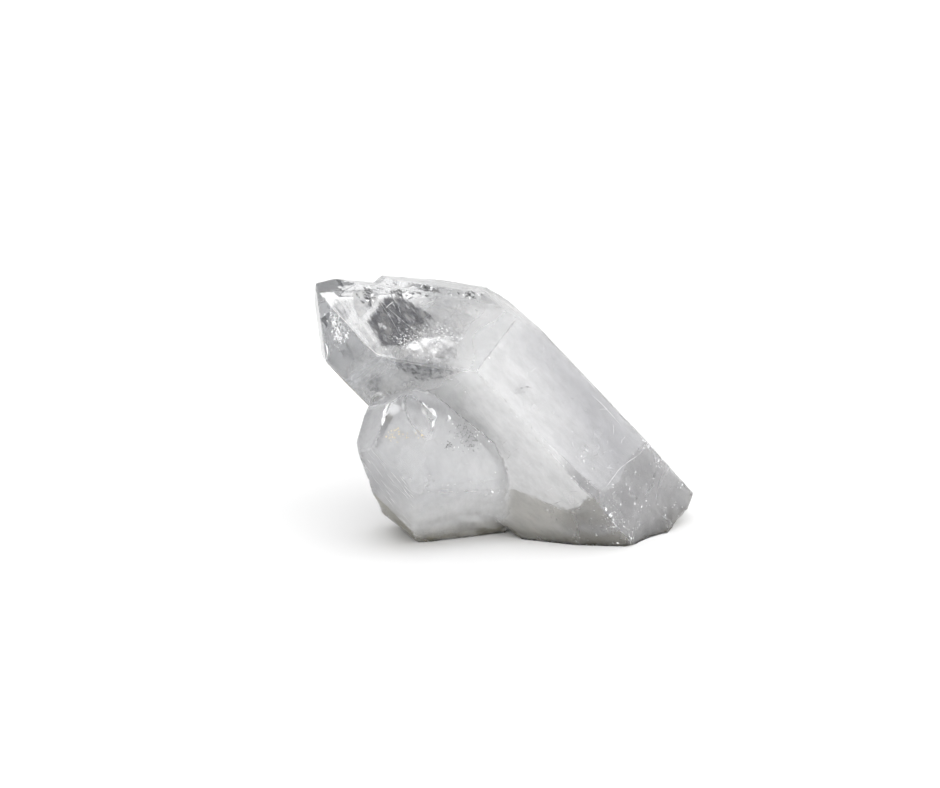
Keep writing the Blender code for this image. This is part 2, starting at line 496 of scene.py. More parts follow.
cover_group, given, made = new_group(
    "Broken cover",
    [("Vector", "NodeSocketVector", None), ("Scale", FLOAT, 130.0), ("Detail", FLOAT, 6.0),
     ("Low", FLOAT, 0.35), ("High", FLOAT, 0.65), ("Least", FLOAT, 0.0), ("Ragged", FLOAT, 0.0),
     ("Thickness", FLOAT, 1.0)],
    [("Cover", FLOAT)],
)
grains = node(
    cover_group, "ShaderNodeTexNoise",
    {"Vector": given["Vector"], "Scale": given["Scale"], "Detail": given["Detail"]}, Roughness=0.65,
)
thinner = math_node(cover_group, "SUBTRACT", 1.0, given["Thickness"])
drop = math_node(cover_group, "MULTIPLY", thinner, given["Ragged"])
raised = math_node(cover_group, "SUBTRACT", grains.outputs["Fac"], drop)
span = node(
    cover_group, "ShaderNodeMapRange",
    {"Value": raised, "From Min": given["Low"], "From Max": given["High"], "To Min": given["Least"]},
)
covered = math_node(cover_group, "MULTIPLY", span.outputs[0], given["Thickness"], clamp=True)
cover_group.links.new(covered, made["Cover"])

tone_group, given, made = new_group(
    "Cloudy tone",
    [("Scale", FLOAT, 90.0), ("One", COLOR, (0.9, 0.9, 0.9, 1)), ("Other", COLOR, (1, 1, 1, 1))],
    [("Tone", COLOR)],
)
coords = node(tone_group, "ShaderNodeTexCoord").outputs["Object"]
drift = node(tone_group, "ShaderNodeTexNoise", {"Vector": coords, "Scale": given["Scale"]}, Detail=5.0)
part = node(
    tone_group, "ShaderNodeMapRange", {"Value": drift.outputs["Fac"]}, From_Min=0.32, From_Max=0.68
)
blend = node(tone_group, "ShaderNodeMix", {"Factor": part.outputs[0]}, data_type="RGBA")
tone_group.links.new(given["One"], blend.inputs["A"])
tone_group.links.new(given["Other"], blend.inputs["B"])
tone_group.links.new(blend.outputs["Result"], made["Tone"])


def place_group(tree, group, links=None, **values):
    """The group in a material, with this material's values."""
    placed = tree.nodes.new("ShaderNodeGroup")
    placed.node_tree = group
    for name, value in values.items():
        placed.inputs[name].default_value = value
    for name, source in (links or {}).items():
        tree.links.new(source, placed.inputs[name])
    return placed.outputs[0]


def covering(scale, low=0.35, high=0.65, least=0.0, ragged=0.0, detail=6.0):
    """Values for a broken cover: full above `high` of the noise, `least` below `low`."""
    values = {"Scale": scale, "Detail": detail, "Low": low, "High": high}
    return values | {"Least": least, "Ragged": ragged}


def break_up(tree, shader, cover, along_grain=False):
    """Makes a finish see-through by a broken cover."""
    if along_grain:
        where = attribute(tree, "grain", "Vector")
    else:
        where = node(tree, "ShaderNodeTexCoord").outputs["Object"]
    links = {"Vector": where, "Thickness": attribute(tree, "thickness")}
    tree.links.new(place_group(tree, cover_group, links, **cover), shader.inputs["Alpha"])


def matt(name, one, other, tone_scale=90.0, cover=None, along_grain=False):
    """A matt finish that lies inside the quartz: cloudy tone, and if `cover` is given the
    values of a broken cover that make it see-through. Its noise follows the mesh's grain
    if it has one."""
    material, tree, shader = new_material(name)
    tone = place_group(tree, tone_group, Scale=tone_scale, One=(*one, 1), Other=(*other, 1))
    tree.links.new(tone, shader.inputs["Base Color"])
    shader.inputs["Roughness"].default_value = 1.0
    shader.inputs["Specular IOR Level"].default_value = 0.0
    if cover:
        break_up(tree, shader, cover, along_grain)
    return material, tree, shader, tone


print("groups:", [group.name for group in bpy.data.node_groups])

# %% [markdown]
# ## Clear quartz
# Rock crystal bends light a little more than window glass (its refractive index is 1.544)
# and soaks up almost none. The growth lines finer than the mesh are a bump, and so are the
# scratches; the break and the worn edges are rougher than the faces.

# %% Clear quartz
QUARTZ_INDEX = 1.544

clear, tree, quartz = new_material("clear quartz")
quartz.inputs["Base Color"].default_value = (1, 1, 1, 1)
quartz.inputs["Transmission Weight"].default_value = 1.0
quartz.inputs["IOR"].default_value = QUARTZ_INDEX

grain = attribute(tree, "grain", "Vector")
stretched = node(tree, "ShaderNodeMapping", {"Vector": grain})
stretched.inputs["Scale"].default_value = (60, 60, 2600)
fine_lines = node(tree, "ShaderNodeTexNoise", {"Vector": stretched.outputs[0]}, Scale=1.0, Detail=3.0)
line_height = math_node(tree, "MULTIPLY", fine_lines.outputs["Fac"], attribute(tree, "prism"))
coords = node(tree, "ShaderNodeTexCoord").outputs["Object"]
crumbs = node(tree, "ShaderNodeTexNoise", {"Vector": coords}, Scale=1500.0, Detail=4.0)
break_height = math_node(tree, "MULTIPLY", crumbs.outputs["Fac"], attribute(tree, "break"))
both_heights = math_node(tree, "ADD", line_height, math_node(tree, "MULTIPLY", break_height, 4.0))
bump = node(tree, "ShaderNodeBump", {"Height": both_heights}, Strength=1.0, Distance=0.00002)
tree.links.new(bump.outputs[0], quartz.inputs["Normal"])
smears = node(tree, "ShaderNodeTexNoise", {"Vector": coords}, Scale=160.0, Detail=5.0)
rough_face = ramp(tree, smears.outputs["Fac"], (0.45, 0.0), (0.75, 0.06))
rough = math_node(tree, "ADD", rough_face, math_node(tree, "MULTIPLY", attribute(tree, "break"), 0.22))
rough = math_node(tree, "ADD", rough, math_node(tree, "MULTIPLY", attribute(tree, "edge"), 0.05))
tree.links.new(rough, quartz.inputs["Roughness"])
absorb = node(tree, "ShaderNodeVolumeAbsorption", Density=25.0)
absorb.inputs["Color"].default_value = (0.82, 0.83, 0.845, 1)
tree.links.new(absorb.outputs[0], tree.nodes["Material Output"].inputs["Volume"])
skin_mesh.materials.clear()
skin_mesh.materials.append(clear)
print("clear quartz: index", QUARTZ_INDEX)

# %% [markdown]
# ## The milk inside
# Milky quartz is clear quartz full of tiny bubbles of water. They lie in the body and
# stop short of the point. The milk is a rounded form carried along the crystal's long
# axis: at each step along the axis and each angle around it, its radius is the way out
# to the skin less a depth, and the whole is smoothed, so no crystal edge shows in it.

# %% Way out from the axis to the skin
stl_points, stl_corners, _, _ = read(solid.data)
first = stl_points[stl_corners[:, 0]]
side_a = stl_points[stl_corners[:, 1]] - first
side_b = stl_points[stl_corners[:, 2]] - first


def way_out(starts, directions):
    """Distance along each ray to the last triangle it meets (Moller-Trumbore: a point of a
    triangle is first + u a + v b, solved for u, v and the distance with cross products)."""
    found = np.zeros(len(starts))
    for low in range(0, len(starts), 800):
        start, ray = starts[low:low + 800, None], directions[low:low + 800, None]
        cross = np.cross(ray, side_b)
        size = (side_a * cross).sum(axis=-1)
        size = np.where(np.abs(size) < 1e-14, 1e-14, size)
        gap = start - first
        u = (gap * cross).sum(axis=-1) / size
        other = np.cross(gap, side_a)
        v = (ray * other).sum(axis=-1) / size
        far = (side_b * other).sum(axis=-1) / size
        hit = (u >= 0) & (v >= 0) & (u + v <= 1) & (far > 0)
        found[low:low + 800] = np.where(hit, far, 0).max(axis=1)
    return found


def soften(radius, rounds):
    """Averages each value with its neighbours along and around, wrapping around."""
    for _ in range(rounds):
        padded = np.concatenate([radius[:1], radius, radius[-1:]])
        radius = (padded[:-2] + 2 * padded[1:-1] + padded[2:]) / 4
        radius = (np.roll(radius, 1, axis=1) + 2 * radius + np.roll(radius, -1, axis=1)) / 4
    return radius


class Lathe:
    """The way out from a line inside a crystal, on a grid of steps along it and angles.
    The line is given as rows (along, x, y) in the crystal's frame, mm."""

    def __init__(self, crystal, low, high, widest, path, steps=120, around=144):
        self.crystal = crystal
        self.along = np.linspace(low, high, steps) * MM
        self.angle = np.linspace(0, 2 * math.pi, around, endpoint=False)
        self.spoke = np.stack([np.cos(self.angle), np.sin(self.angle), 0 * self.angle], axis=1)
        rows = np.array(path) * MM
        across = [np.interp(self.along, rows[:, 0], rows[:, k]) for k in (1, 2)]
        self.line = np.stack([*across, self.along], axis=1)
        starts = np.repeat(crystal.world(self.line), around, axis=0)
        rays = np.tile(self.spoke @ crystal.axes, (steps, 1))
        directions, distances = crystal.walls()
        toward = np.maximum(rays @ directions.T, 1e-3)
        to_wall = ((distances - (starts - crystal.centre) @ directions.T) / toward).min(axis=1)
        reach = np.minimum(way_out(starts, rays), np.maximum(to_wall, 0)).reshape(steps, around)
        self.reach = soften(np.minimum(reach, widest * MM), 2)

    def surface(self, name, depth, start, stop, rounds, rough=0.0, seed=1, blunt=6.0):
        """Radius = (reach - depth) times an ellipse's sqrt(1 - t^2) at both ends, where t
        runs from 0 to 1 over the last `blunt` mm. One point closes each end."""
        inside = (self.along >= start * MM) & (self.along <= stop * MM)
        along, reach = self.along[inside], self.reach[inside]
        t = np.clip(1 - np.minimum(along - along[0], along[-1] - along) / (blunt * MM), 0, 0.995)
        radius = soften(np.maximum(reach - depth * MM, 0.6 * MM), rounds) * np.sqrt(1 - t * t)[:, None]
        if rough:
            grid = self.line[inside][:, None] + radius[..., None] * self.spoke
            flat = grid.reshape(-1, 3)
            swell = value_noise(flat, 6 * MM, seed) + 0.5 * value_noise(flat, 2.5 * MM, seed + 1)
            radius = radius * (1 + rough * swell.reshape(radius.shape))
        grid = self.line[inside][:, None] + radius[..., None] * self.spoke
        return closed_tube(name, self.crystal.world(grid.reshape(-1, 3)).reshape(grid.shape))


def closed_tube(name, grid):
    """A mesh from a grid of rings, closed around and with a point at each end."""
    rings, around = grid.shape[:2]
    ends_at = np.stack([grid[0].mean(axis=0), grid[-1].mean(axis=0)])
    verts = np.concatenate([grid.reshape(-1, 3), ends_at])
    ring, spot = np.meshgrid(np.arange(rings - 1), np.arange(around), indexing="ij")
    a = (ring * around + spot).ravel()
    b = (ring * around + (spot + 1) % around).ravel()
    quads = np.stack([a, b, b + around, a + around], axis=1)
    spot = np.arange(around)
    after = (spot + 1) % around
    last = (rings - 1) * around
    start_fan = np.stack([after, spot, 0 * spot + rings * around], axis=1)
    end_fan = np.stack([last + spot, last + after, 0 * spot + rings * around + 1], axis=1)
    mesh = bpy.data.meshes.new(name)
    mesh.from_pydata(verts.tolist(), [], quads.tolist() + start_fan.tolist() + end_fan.tolist())
    make_smooth(mesh)
    return mesh


def add_piece(mesh, material):
    """An object for a mesh, which rides the crystal's body."""
    piece = bpy.data.objects.new(mesh.name, mesh)
    scene.collection.objects.link(piece)
    mesh.materials.append(material)
    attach(piece, "root")
    return piece


LARGE_LINE = [(-62, 0, 12), (-52, 0, 7), (-44, 0, 3), (-34, 0, 1), (10, 0, 1), (16, -2, 0),
              (24, -7, -4), (32, -10, -7), (40, -12, -8), (48, -12, -9)]
SMALL_LINE = [(-14, 0, 0), (30, 0, 0)]
large_lathe = Lathe(large, -60, 46, 25.5, LARGE_LINE)
small_lathe = Lathe(small, -14, 30, 19.0, SMALL_LINE)
way_mm = large_lathe.reach / MM
print("way out of the large crystal:", way_mm.min().round(1), "to", way_mm.max().round(1), "mm")

# %% Milk material
MILK_GLOW, RIND_GLOW = 0.007, 0.012


def scattering(shader, reach):
    """Lets light travel this far (in metres) under a surface before it comes out."""
    shader.inputs["Subsurface Weight"].default_value = 1.0
    shader.inputs["Subsurface Radius"].default_value = (1, 1, 1)
    shader.inputs["Subsurface Scale"].default_value = reach


milk, _, body, _ = matt("milky quartz", (0.90, 0.90, 0.90), (0.99, 0.99, 0.99))
scattering(body, MILK_GLOW)
cores = [
    add_piece(large_lathe.surface("milk_large", 2.2, -58, 21, 5, 0.02, 61, 9.0), milk),
    add_piece(small_lathe.surface("milk_small", 2.6, -12, 23, 5, 0.03, 63, 8.0), milk),
]
print("cores:", [core.name for core in cores])

# %% [markdown]
# The milk also reaches almost to the faces, which gives each face of the body its own
# tone. That rind is the solid drawn in by under a millimetre: each point moves against
# its normal, but less in the seam between the two crystals. Its tone drifts, and three
# masks tint it: painted shade that greys some faces, the break, and painted shade that
# darkens the undersides near the floor.

# %% Rind material
# Painted shade: this grey darkens faces as if less light fell on them.
PAINTED_SHADE_COLOR, BREAK_COLOR = (0.62, 0.62, 0.64), (0.505, 0.50, 0.51)
# Painted shade: a dark olive that darkens the undersides near the floor.
UNDERSIDE_SHADE_COLOR = (0.21, 0.185, 0.11)


def tinted(tree, tone, mask, color):
    """The tone, mixed towards a colour by a mask that a point attribute holds."""
    mixed = node(tree, "ShaderNodeMix", {"Factor": attribute(tree, mask)}, data_type="RGBA")
    tree.links.new(tone, mixed.inputs["A"])
    mixed.inputs["B"].default_value = (*color, 1)
    return mixed.outputs["Result"]


rind_tone, tree, coat, tone = matt(
    "milky rind", (0.965, 0.965, 0.97), (0.995, 0.995, 0.99), 70.0,
    covering(190.0, 0.3, 0.62, 0.55, 0.3), along_grain=True,
)
# Painted shade on some faces, the break's own grey, and painted shade under the cluster, in that order.
for mask, color in (("shade", PAINTED_SHADE_COLOR), ("break", BREAK_COLOR), ("underside_shade", UNDERSIDE_SHADE_COLOR)):
    tone = tinted(tree, tone, mask, color)
tree.links.new(tone, coat.inputs["Base Color"])
scattering(coat, RIND_GLOW)
print("rind material:", rind_tone.name)

# %% The rind's form
RIND_EDGE = 1.3 * MM
RIND_DEPTH = 0.45 * MM
SEAM_SHARE = 0.5
OFF_FLOOR = 0.1 * MM

rind_mesh = fine_copy(solid, "milk_rind", RIND_EDGE)
spots, tris, looks, sizes = read(rind_mesh)
out = spread(looks, tris, len(spots), sizes)
out /= np.maximum(np.linalg.norm(out, axis=1), 1e-9)[:, None]
low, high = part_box("quartz_cluster")
rims = np.unique(sides_of(tris), axis=0)
spots = eased(spots, rims, RIDGE_EASE * ridge_mask(spots), 40)
contact = contact_mask(spots)
bend = ((eased(spots, rims, np.ones(len(spots)), 1) - spots) * out).sum(axis=1)
seam = step_up(0.03 * MM, 0.12 * MM, bend)
for _ in range(2):
    before = seam.copy()
    np.maximum.at(seam, rims[:, 0], 0.7 * before[rims[:, 1]])
    np.maximum.at(seam, rims[:, 1], 0.7 * before[rims[:, 0]])
spots = eased(spots, rims, CONTACT_EASE * contact, 16)
spots = spots - out * (RIND_DEPTH * (1 - SEAM_SHARE * seam))[:, None]
spots[:, 2] = np.maximum(spots[:, 2], OFF_FLOOR)
rind_mesh.vertices.foreach_set("co", spots.ravel())
print("rind:", len(tris), "triangles, in the solid's box", low, "to", high)

# %% [markdown]
# Painted shade darkens the rind to a dark olive on the faces that look down near the
# floor, on the left foot's under faces and low on the front of the break. More painted
# shade greys the body's right front face, the front face of the point and the small
# crystal's shoulder, as if less light fell on them. The rind is thick in the body, thin
# on that shoulder and gone in the point.

# %% Painted shade and thickness of the rind
def facing_out(crystal, number):
    """1 on the face of a crystal with this number, 0 on faces that look elsewhere."""
    return step_up(0.9, 0.99, out @ crystal.faces()[0][number])


height_mm, along_x = spots[:, 2] / MM, spots[:, 0] / MM
s_large, s_small = large.local(spots)[:, 2] / MM, small.local(spots)[:, 2] / MM
in_small = inside_all(small, spots, 0.5 * MM) & (spots[:, 1] < 0.002)
tri_match = grown_along(looks, inside_all(small, spots[tris].mean(axis=1), OWN_SLACK))
rind_break = spread((tri_match < 0.9986).astype(float), tris, len(spots), sizes)
right_end = step_up(0.35, 0.65, rind_break) * step_up(10, 18, along_x)

# Painted shade under the cluster: faces that look down near the floor, the left foot's under faces and
# the low front of the break turn dark olive.
underside_shade = (1 - step_up(1.0, np.where(in_small, 7.5, 11.0), height_mm)) * step_up(0.2, 0.7, -out[:, 2])
foot_looks = np.array([compass(-144.7, -41.4), compass(-162.6, -48.2)])
left_foot = step_up(0.985, 0.996, (out @ foot_looks.T).max(axis=1)) * (along_x < -12)
low_front = step_up(0.35, 0.65, rind_break) * step_up(0.3, 0.5, -out[:, 2]) * step_up(-2, 2, along_x)
underside_shade = np.maximum(np.maximum(underside_shade, left_foot), 0.42 * low_front)

# Painted shade on the large crystal: its right front face greys near the top edge and towards the
# break, and the front face of the point greys too.
directions, distances = large.faces()
from_top = (distances[1] - (spots - large.centre) @ directions[1]) / MM
near_top = 1 - step_up(1, 13, from_top)
near_break = 1 - step_up(-46, -31, s_large)
towards_break = 1 - step_up(-40, 2, s_large)
large_painted_shade = facing_out(large, 0) * (0.2 + 0.6 * towards_break + 0.6 * near_top + 0.4 * near_break)
large_painted_shade = large_painted_shade + 0.6 * facing_out(large, 6)
upper = step_up(-6, 6, s_small + 2 * value_noise(spots, 6 * MM, 83))
shoulder = step_up(12, 20, height_mm)
# Painted shade on the small crystal: greyer on its shoulder, its upper part and its left side, lighter
# towards the body.
small_painted_shade = 0.1 + 0.4 * shoulder + 0.35 * upper - 0.3 * step_up(-18, -9, along_x)
small_painted_shade = small_painted_shade + 0.3 * (1 - step_up(-34, -28, along_x)) * shoulder
shade = np.clip(np.where(in_small, small_painted_shade, large_painted_shade), 0, 1)

fade = 1 - step_up(2, 19, s_large + 3 * value_noise(spots, 8 * MM, 81))
thickness = np.where(in_small, 0.75 - 0.2 * upper, 0.85 * fade)
thickness = np.maximum(np.maximum(thickness, 0.75 * right_end), underside_shade)
rind_grain = np.where(in_small[:, None], small.local(spots), large.local(spots))
for name, values in (
    ("thickness", thickness), ("break", right_end), ("underside_shade", underside_shade), ("shade", shade),
    ("grain", rind_grain * np.array([1, 1, 0.4])),
):
    give(rind_mesh, name, values)
rind_mesh.materials.clear()
make_smooth(rind_mesh)
add_piece(rind_mesh, rind_tone)
print("share of the rind: clay", underside_shade.mean().round(2), "shade", shade.mean().round(2))

# %% [markdown]
# The milk thins out towards the point over about a centimetre. Thin shells around the
# core and ahead of it, white and mostly clear, pile up to that fade.

# %% Haze material and shells
haze = matt("haze", (0.86, 0.86, 0.87), (0.96, 0.96, 0.96), 90.0, covering(140.0, 0.36, 0.66))[0]


def shell(lathe, name, depth, start, stop, fade, strength, seed, rounds=4, blunt=8.0):
    """A shell whose thickness runs from `strength` at the first fade place to 0 at the
    second, both along the long axis in mm."""
    mesh = lathe.surface(name, depth, start, stop, rounds, 0.03, seed, blunt)
    where, _, _, _ = read(mesh)
    s = lathe.crystal.local(where)[:, 2] / MM
    wobble = 3.0 * value_noise(where, 7 * MM, seed + 5)
    give(mesh, "thickness", strength * (1 - step_up(fade[0], fade[1], s + wobble)))
    return add_piece(mesh, haze)


shells = [
    shell(large_lathe, "haze_outer", 0.9, -59, 30, (2, 18), 0.3, 71),
    shell(large_lathe, "haze_second", 3.6, -6, 28, (17, 26), 0.8, 73),
    shell(large_lathe, "haze_third", 6.5, -4, 27, (17, 26), 0.8, 75),
    shell(small_lathe, "haze_small", 1.1, -12, 27, (10, 26), 0.5, 77),
]
print("shells:", [piece.name for piece in shells])

# %% [markdown]
# ## Painted dark reflections, dust and healed cracks
# The dark patches in the point are painted dark reflections: dark sheets under its faces
# stand for the dark room seen in the point. One sheet in the small crystal is a cloud of
# dark specks inside it. Each sheet is a patch with straight sides, laid out from its
# middle: on each spoke, the rim is the nearest side, and rings fill the patch between.

# %% Patches with straight sides
def patch_grid(outline, wave, seed, rings=22, spokes=96):
    """Points of a patch: middle + r * rim(angle) * spoke, where the rim is the least
    distance to a side along the spoke, plus a low wave off the plane. Also r for each."""
    outline = np.array(outline, float) * MM
    middle = outline.mean(axis=0)
    _, _, rows = np.linalg.svd(outline - middle)
    flat = (outline - middle) @ rows[:2].T
    turn = np.argsort(np.arctan2(flat[:, 1], flat[:, 0]))
    flat = flat[turn]
    side = np.roll(flat, -1, axis=0) - flat
    out = np.stack([side[:, 1], -side[:, 0]], axis=1)
    out /= np.linalg.norm(out, axis=1)[:, None]
    far = (out * flat).sum(axis=1)
    angle = np.linspace(0, 2 * math.pi, spokes, endpoint=False)
    spoke = np.stack([np.cos(angle), np.sin(angle)], axis=1)
    toward_side = spoke @ out.T
    rim = np.where(toward_side > 1e-6, far / np.maximum(toward_side, 1e-6), 1.0).min(axis=1)
    uneven = value_noise(np.column_stack([spoke, angle * 0]) * 3, 0.6, seed)
    rim = rim * (1 + 0.05 * uneven)
    r = np.linspace(0, 1, rings + 1)[1:]
    spots = (r[:, None, None] * rim[:, None] * spoke) @ rows[:2] + middle
    spots = spots.reshape(-1, 3)
    spots += rows[2] * (wave * MM * value_noise(spots, 3 * MM, seed))[:, None]
    spots, r = np.concatenate([[middle], spots]), np.concatenate([[0], np.repeat(r, spokes)])
    return spots, r, rings, spokes


def patches(name, rows, material):
    """One mesh of many patches. Each row: outline in mm, wave, strength, softness of the
    rim, and a grade (from, to) along the long axis of the large crystal, or None."""
    verts, faces, strengths, start = [], [], [], 0
    for k, (outline, wave, strength, soft, grade) in enumerate(rows):
        spots, r, rings, spokes = patch_grid(outline, wave, 100 + k)
        ring, spot = np.meshgrid(np.arange(rings - 1), np.arange(spokes), indexing="ij")
        a = (1 + ring * spokes + spot).ravel()
        b = (1 + ring * spokes + (spot + 1) % spokes).ravel()
        quads = np.stack([a, a + spokes, b + spokes, b], axis=1) + start
        spot = np.arange(spokes)
        fan = np.stack([0 * spot, 1 + spot, 1 + (spot + 1) % spokes], axis=1) + start
        faces += quads.tolist() + fan.tolist()
        value = strength * (1 - step_up(1 - soft, 1.0, r)) if soft else strength + 0 * r
        if grade:
            value = value * step_up(grade[0], grade[1], large.local(spots)[:, 2] / MM)
        verts.append(spots)
        strengths.append(value)
        start += len(spots)
    mesh = bpy.data.meshes.new(name)
    mesh.from_pydata(np.concatenate(verts).tolist(), [], faces)
    give(mesh, "thickness", np.concatenate(strengths))
    give(mesh, "grain", np.concatenate(verts) @ SCRATCH_FRAME.T * np.array([0.22, 1, 1]))
    make_smooth(mesh)
    return add_piece(mesh, material)


SCRATCH_WAY = np.array([0.463, -0.679, -0.567])
SCRATCH_SIDE = np.cross(SCRATCH_WAY, large.faces()[0][6])
SCRATCH_SIDE /= np.linalg.norm(SCRATCH_SIDE)
SCRATCH_FRAME = np.stack([SCRATCH_WAY, SCRATCH_SIDE, np.cross(SCRATCH_WAY, SCRATCH_SIDE)])

# Painted dark reflection: near-black sheets in the point; the same finish serves the dark specks in the
# small crystal.
dark_reflection_and_dust = matt(
    "painted dark reflection and dust", (0.010, 0.012, 0.020), (0.10, 0.105, 0.13), 1300.0,
    covering(1200.0, 0.32, 0.47, 0.22, 0.34, detail=8.0), along_grain=True,
)[0]

# Dark sheets under the point's faces are painted dark reflections; the ninth row is a cloud of dark
# specks inside the small crystal.
DARK_REFLECTIONS_AND_DUST = [
    (
        [
            (-37.4, -1.5, 56.1), (-32.1, 5.4, 61.9), (-27.0, 5.9, 62.3), (-16.0, -0.8, 56.8),
            (-13.0, -3.6, 54.5), (-19.8, -6.2, 52.4), (-25.6, -8.6, 50.3), (-32.2, -8.1, 50.6),
        ],
        0.25, 1.0, 0.26, (18.5, 24.5),
    ),
    (
        [
            (-44.0, 0.4, 60.9), (-43.2, 1.6, 61.8), (-40.8, 1.8, 62.0), (-38.7, 0.1, 60.6),
            (-38.9, -1.3, 59.4), (-39.3, -3.5, 57.6), (-40.0, -3.7, 57.4),
        ],
        0.05, 0.5, 0.1, None,
    ),
    ([(-46.2, 0.3, 57.4), (-43.9, -0.8, 59.7), (-44.6, -1.5, 55.4)], 0.02, 0.8, 0.0, None),
    (
        [
            (-45.8, 0.5, 55.1), (-45.5, -2.0, 50.5), (-44.8, -4.0, 47.7), (-44.9, -3.2, 49.8),
            (-45.9, -1.2, 54.4),
        ],
        0.02, 0.8, 0.1, None,
    ),
    (
        [
            (-39.6, -5.0, 53.8), (-35.8, -8.1, 52.5), (-35.5, -9.2, 49.8), (-37.1, -8.6, 48.1),
            (-40.9, -5.6, 48.8), (-41.7, -4.5, 50.4),
        ],
        0.1, 0.5, 0.35, None,
    ),
    (
        [
            (-36.7, -8.8, 44.6), (-31.9, -10.6, 47.6), (-30.2, -10.5, 45.8), (-30.8, -8.9, 40.8),
            (-33.5, -8.0, 39.8), (-36.0, -8.3, 42.5),
        ],
        0.1, 0.6, 0.4, None,
    ),
    (
        [
            (-32.6, -11.7, 51.6), (-21.5, -13.4, 50.4), (-7.6, -15.6, 48.6), (-15.9, -12.7, 45.2),
            (-21.8, -11.2, 44.0), (-27.7, -11.3, 47.9),
        ],
        0.15, 0.6, 0.3, None,
    ),
    (
        [(-35.3, 2.9, 63.7), (-34.3, 2.7, 63.5), (-33.4, -1.6, 59.9), (-34.7, -1.1, 60.3)], 0.1,
        0.6, 0.4, None,
    ),
    (
        [
            (-13.3, -19, 35.4), (-11.1, -17.9, 35.8), (-9.5, -17.3, 33.9), (-8.6, -16.9, 31.5),
            (-7.6, -16.5, 29.7), (-8.9, -17.1, 29.1), (-10.5, -17.8, 30.1), (-11.9, -18.4, 32.3),
        ],
        0.02, 0.42, 0.5, None,
    ),
    (
        [
            (-43.2, 5.3, 66.5), (-42.1, 5, 66.3), (-40.2, 3.1, 64.7), (-40, 2.5, 64.1),
            (-41.4, 3.3, 64.8), (-42.5, 4.2, 65.5),
        ],
        0.02, 0.7, 0.15, None,
    ),
]
patches("painted_dark_reflections_and_dust", DARK_REFLECTIONS_AND_DUST, dark_reflection_and_dust)
print("dark_and_dusty patches:", len(DARK_REFLECTIONS_AND_DUST))

# %% [markdown]
# Healed cracks are paler: thin grey films. One grey film, on the chip in the small
# crystal's front face, is painted shade. A fresh crack inside the point is a mirror,
# because light inside quartz bounces off the air in it; tilted to the light, it flashes.

# %% Films
healed_film_and_painted_shade = matt(
    "healed crack and painted shade", (0.45, 0.45, 0.48), (0.85, 0.84, 0.82), 500.0,
    covering(420.0, 0.32, 0.60, 0.35, 0.2, detail=8.0), along_grain=True,
)[0]
mirror, tree, shine = new_material("crack mirror")
sheen = place_group(tree, tone_group, Scale=800.0, One=(0.92, 0.92, 0.93, 1), Other=(1, 1, 1, 1))
tree.links.new(sheen, shine.inputs["Base Color"])
shine.inputs["Metallic"].default_value = 1.0
shine.inputs["Roughness"].default_value = 0.35
break_up(tree, shine, covering(300.0, 0.34, 0.52, 0.35, 0.25, detail=8.0), along_grain=True)

FILMS = [
    (
        [
            (-38.5, -4.2, 57.4), (-36.3, -4.3, 57.4), (-31.9, -10.4, 52.3), (-32.1, -11.3, 51.5),
            (-36, -7.1, 55),
        ],
        0.05, 0.75, 0.15, None,
    ),
    (
        [
            (-40.6, 4.3, 64.3), (-31.1, 3.5, 63.7), (-31.6, 1.6, 62.1), (-36.3, -3.8, 57.5),
            (-38.3, -3.6, 57.7), (-38.7, 0, 60.6),
        ],
        0.2, 0.8, 0.3, None,
    ),
    (
        [
            (-43.9, -0.1, 60.0), (-42.3, -2.0, 58.5), (-37.9, -6.3, 54.95), (-34.6, -9.5, 52.3),
            (-32.1, -11.6, 50.6), (-14.0, -13.8, 48.9), (-8.5, -3.0, 58.0), (-12, 2, 62.1),
            (-40, 2, 61.85),
        ],
        0.1, 0.5, 0.05, None,
    ),
    (
        [(-7.6, 13.9, 61.4), (-0.1, -2.4, 59.5), (-3.3, -1.6, 60.1), (-7.2, 2, 61.6)], 0.1, 0.7,
        0.3, None,
    ),
    # Painted shade: a grey film that darkens the chip in the small crystal's front face.
    (
        [
            (-23.6, -23.2, 44), (-22.4, -23, 43.7), (-20.8, -22.3, 41.9), (-19.1, -21.6, 39.1),
            (-18.2, -21.3, 37.4), (-18.9, -21.3, 35.1), (-19.7, -21.7, 33.6),
            (-20.4, -21.5, 36.4), (-21.4, -21.9, 39.8),
        ],
        0.01, 0.6, 0.12, None,
    ),
]
MIRRORS = [
    (
        [
            (-28.6, -11.1, 51.6), (-23.3, -6.0, 54.4), (-15.6, -4.9, 54.9), (-11.0, -7.7, 53.2),
            (-11.0, -14.0, 49.0), (-20.2, -13.3, 49.6),
        ],
        0.7, 1.0, 0.5, None,
    ),
    (
        [
            (-28.3, -11.0, 51.5), (-25.9, -9.2, 53.6), (-21.1, -7.4, 55.4), (-16.2, -6.7, 55.2),
            (-12.5, -7.2, 53.4), (-12.1, -9.7, 49.3), (-14.5, -11.6, 46.8), (-18.5, -11.9, 47.4),
            (-23.4, -11.6, 49.1), (-26.6, -11.5, 50.1),
        ],
        0.12, 1.0, 0.6, None,
    ),
]
patches("healed_films_and_painted_shade", FILMS, healed_film_and_painted_shade)
patches("mirror_cracks", MIRRORS, mirror)
print("films:", len(FILMS) + len(MIRRORS))

# %% [markdown]
# ## Ribbons: bruised edges, painted glints, scratches and small cracks
# A knock on a crystal's edge leaves a white line of tiny fractures; the white lines along
# the point's ridges and the rim of the break are also painted glints. Inside there are
# short cracks seen edge on. Each is a narrow ribbon: a path smoothed through its points,
# widest in the middle, and turned to face out of the crystal there.

# %% Ribbons
def outward_at(spots):
    """Direction of the nearest point of the skin, for each spot."""
    near = [np.argmin(((points - spot) ** 2).sum(axis=1)) for spot in spots]
    return normal[near]


